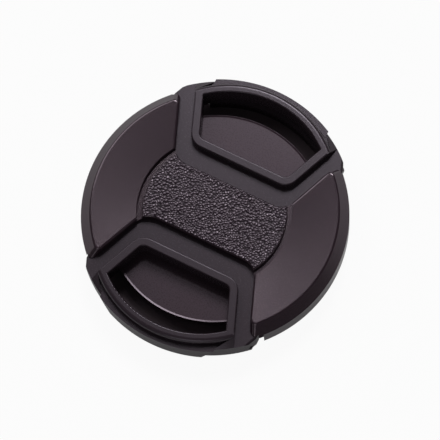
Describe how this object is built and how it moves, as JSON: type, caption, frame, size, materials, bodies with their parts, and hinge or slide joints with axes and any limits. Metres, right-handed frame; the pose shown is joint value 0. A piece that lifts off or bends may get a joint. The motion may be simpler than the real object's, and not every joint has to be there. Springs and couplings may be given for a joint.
{
  "type": "camera lens cap",
  "caption": "Round black centre-pinch lens cap with two sprung sliding clips, finger pockets, smooth wings and a grained centre disc.",
  "frame": {"origin": "bottom centre of the cap lying on its jaws, front face up", "axes": "+Z out of the front face, +Y along the pinch axis towards the upper clip, +X across the wings"},
  "size_m": [0.062, 0.066, 0.0104],
  "materials": {
    "cover_plastic": "satin",
    "clip_plastic": "satin",
    "plate_plastic": "satin",
    "spring_steel": "bright"
  },
  "bodies": {
    "cap_body": {"front_cover": "cover_plastic", "back_plate": "plate_plastic", "upper_spring_left": "spring_steel", "upper_spring_right": "spring_steel", "lower_spring_left": "spring_steel", "lower_spring_right": "spring_steel"},
    "upper_clip_body": {"upper_clip": "clip_plastic"},
    "lower_clip_body": {"lower_clip": "clip_plastic"}
  },
  "joints": [
    {"name": "upper_clip_slide", "type": "slide", "parent": "cap_body", "child": "upper_clip_body", "axis": [0, -1, 0], "range_m": [0, 0.0025], "stiffness_N_per_m": 800, "springref_m": -0.004, "deforming": ["upper_spring_left", "upper_spring_right"]},
    {"name": "lower_clip_slide", "type": "slide", "parent": "cap_body", "child": "lower_clip_body", "axis": [0, 1, 0], "range_m": [0, 0.0025], "stiffness_N_per_m": 800, "springref_m": -0.004, "deforming": ["lower_spring_left", "lower_spring_right"]}
  ]
}
